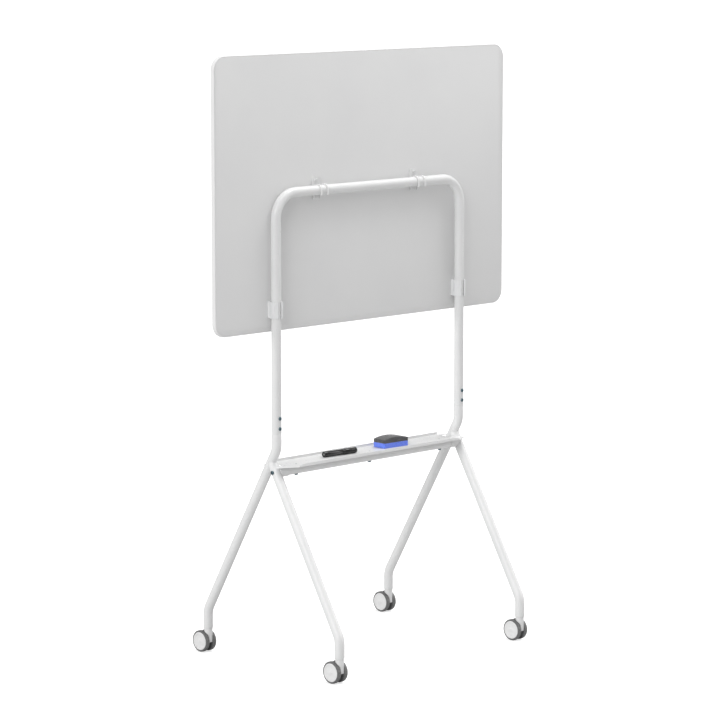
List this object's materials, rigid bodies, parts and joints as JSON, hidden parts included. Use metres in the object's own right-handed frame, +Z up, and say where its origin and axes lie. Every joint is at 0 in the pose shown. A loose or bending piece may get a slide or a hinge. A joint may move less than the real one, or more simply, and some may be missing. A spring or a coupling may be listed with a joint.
{
  "type": "rolling whiteboard",
  "caption": "Rolling whiteboard: a rounded board hung on a white tubular hoop, splayed leg frames, a crossbar with a pen tray, a marker, an eraser and twin-wheel swivel casters.",
  "frame": {"origin": "on the floor under the middle of the bounding box, all casters trailing towards -Y", "axes": "+Z up; the writing face looks to -Y; +X is to the right of a person facing the writing face"},
  "size_m": [1.2, 0.6218, 1.786],
  "materials": {
    "white_paint": "satin white powder coat",
    "zinc_steel": "zinc plated",
    "dark_screw": "blued steel",
    "core": "raw fibreboard",
    "writing_enamel": "gloss white enamel on steel sheet",
    "back_laminate": "matt light grey laminate",
    "edge_plastic": "smooth white edge band",
    "clip_plastic": "semi-gloss light grey",
    "socket_plastic": "smooth off-white",
    "caster_white": "smooth white moulding",
    "caster_tyre": "matt grey soft tread",
    "marker_plastic": "semi-gloss black",
    "eraser_felt": "blue felt",
    "eraser_plastic": "dark grey fabric-textured grip"
  },
  "bodies": {
    "stand": {"hoop_tube": "white_paint", "left_front_leg": "white_paint", "right_front_leg": "white_paint", "left_rear_leg": "white_paint", "right_rear_leg": "white_paint", "left_joint_sleeve": "zinc_steel", "right_joint_sleeve": "zinc_steel", "joint_screws": "dark_screw", "crossbar": "white_paint", "crossbar_saddles": "white_paint", "crossbar_bolts": "dark_screw", "tray": "white_paint", "tray_lips": "white_paint", "tray_screws": "dark_screw", "front_left_caster_socket": "socket_plastic", "front_right_caster_socket": "socket_plastic", "rear_left_caster_socket": "socket_plastic", "rear_right_caster_socket": "socket_plastic"},
    "board": {"board_core": "core", "writing_sheet": "writing_enamel", "back_panel": "back_laminate", "edge_band": "edge_plastic", "left_hook_bracket": "white_paint", "right_hook_bracket": "white_paint", "hook_screws": "white_paint", "left_tube_clip": "clip_plastic", "right_tube_clip": "clip_plastic", "clip_screws": "dark_screw"},
    "marker": {"marker_barrel": "marker_plastic", "marker_cap": "marker_plastic"},
    "eraser": {"eraser_pad": "eraser_felt", "eraser_grip": "eraser_plastic"},
    "front_left_caster": {"front_left_caster_housing": "caster_white", "front_left_caster_stem": "zinc_steel", "front_left_caster_axle": "zinc_steel"},
    "front_left_outer_wheel": {"front_left_caster_outer_hub": "caster_white", "front_left_caster_outer_tyre": "caster_tyre"},
    "front_left_inner_wheel": {"front_left_caster_inner_hub": "caster_white", "front_left_caster_inner_tyre": "caster_tyre"},
    "front_right_caster": {"front_right_caster_housing": "caster_white", "front_right_caster_stem": "zinc_steel", "front_right_caster_axle": "zinc_steel"},
    "front_right_outer_wheel": {"front_right_caster_outer_hub": "caster_white", "front_right_caster_outer_tyre": "caster_tyre"},
    "front_right_inner_wheel": {"front_right_caster_inner_hub": "caster_white", "front_right_caster_inner_tyre": "caster_tyre"},
    "rear_left_caster": {"rear_left_caster_housing": "caster_white", "rear_left_caster_stem": "zinc_steel", "rear_left_caster_axle": "zinc_steel"},
    "rear_left_outer_wheel": {"rear_left_caster_outer_hub": "caster_white", "rear_left_caster_outer_tyre": "caster_tyre"},
    "rear_left_inner_wheel": {"rear_left_caster_inner_hub": "caster_white", "rear_left_caster_inner_tyre": "caster_tyre"},
    "rear_right_caster": {"rear_right_caster_housing": "caster_white", "rear_right_caster_stem": "zinc_steel", "rear_right_caster_axle": "zinc_steel"},
    "rear_right_outer_wheel": {"rear_right_caster_outer_hub": "caster_white", "rear_right_caster_outer_tyre": "caster_tyre"},
    "rear_right_inner_wheel": {"rear_right_caster_inner_hub": "caster_white", "rear_right_caster_inner_tyre": "caster_tyre"}
  },
  "joints": [
    {"name": "board_lift", "type": "slide", "parent": "stand", "child": "board", "axis": [0, 0, 1], "range_m": [0, 0.06]},
    {"name": "marker_lift", "type": "slide", "parent": "stand", "child": "marker", "axis": [0, 0, 1], "range_m": [0, 0.12]},
    {"name": "eraser_lift", "type": "slide", "parent": "stand", "child": "eraser", "axis": [0, 0, 1], "range_m": [0, 0.12]},
    {"name": "front_left_swivel", "type": "hinge", "parent": "stand", "child": "front_left_caster", "pos_m": [-0.3832, -0.2614, 0.0705], "axis": [0, 0, 1], "continuous": true},
    {"name": "front_left_outer_wheel_spin", "type": "hinge", "parent": "front_left_caster", "child": "front_left_outer_wheel", "pos_m": [-0.3832, -0.2785, 0.0324], "axis": [1, 0, 0], "continuous": true},
    {"name": "front_left_inner_wheel_spin", "type": "hinge", "parent": "front_left_caster", "child": "front_left_inner_wheel", "pos_m": [-0.3832, -0.2785, 0.0324], "axis": [1, 0, 0], "continuous": true},
    {"name": "front_right_swivel", "type": "hinge", "parent": "stand", "child": "front_right_caster", "pos_m": [0.3832, -0.2614, 0.0705], "axis": [0, 0, 1], "continuous": true},
    {"name": "front_right_outer_wheel_spin", "type": "hinge", "parent": "front_right_caster", "child": "front_right_outer_wheel", "pos_m": [0.3832, -0.2785, 0.0324], "axis": [1, 0, 0], "continuous": true},
    {"name": "front_right_inner_wheel_spin", "type": "hinge", "parent": "front_right_caster", "child": "front_right_inner_wheel", "pos_m": [0.3832, -0.2785, 0.0324], "axis": [1, 0, 0], "continuous": true},
    {"name": "rear_left_swivel", "type": "hinge", "parent": "stand", "child": "rear_left_caster", "pos_m": [-0.3832, 0.2956, 0.0705], "axis": [0, 0, 1], "continuous": true},
    {"name": "rear_left_outer_wheel_spin", "type": "hinge", "parent": "rear_left_caster", "child": "rear_left_outer_wheel", "pos_m": [-0.3832, 0.2785, 0.0324], "axis": [1, 0, 0], "continuous": true},
    {"name": "rear_left_inner_wheel_spin", "type": "hinge", "parent": "rear_left_caster", "child": "rear_left_inner_wheel", "pos_m": [-0.3832, 0.2785, 0.0324], "axis": [1, 0, 0], "continuous": true},
    {"name": "rear_right_swivel", "type": "hinge", "parent": "stand", "child": "rear_right_caster", "pos_m": [0.3832, 0.2956, 0.0705], "axis": [0, 0, 1], "continuous": true},
    {"name": "rear_right_outer_wheel_spin", "type": "hinge", "parent": "rear_right_caster", "child": "rear_right_outer_wheel", "pos_m": [0.3832, 0.2785, 0.0324], "axis": [1, 0, 0], "continuous": true},
    {"name": "rear_right_inner_wheel_spin", "type": "hinge", "parent": "rear_right_caster", "child": "rear_right_inner_wheel", "pos_m": [0.3832, 0.2785, 0.0324], "axis": [1, 0, 0], "continuous": true}
  ]
}
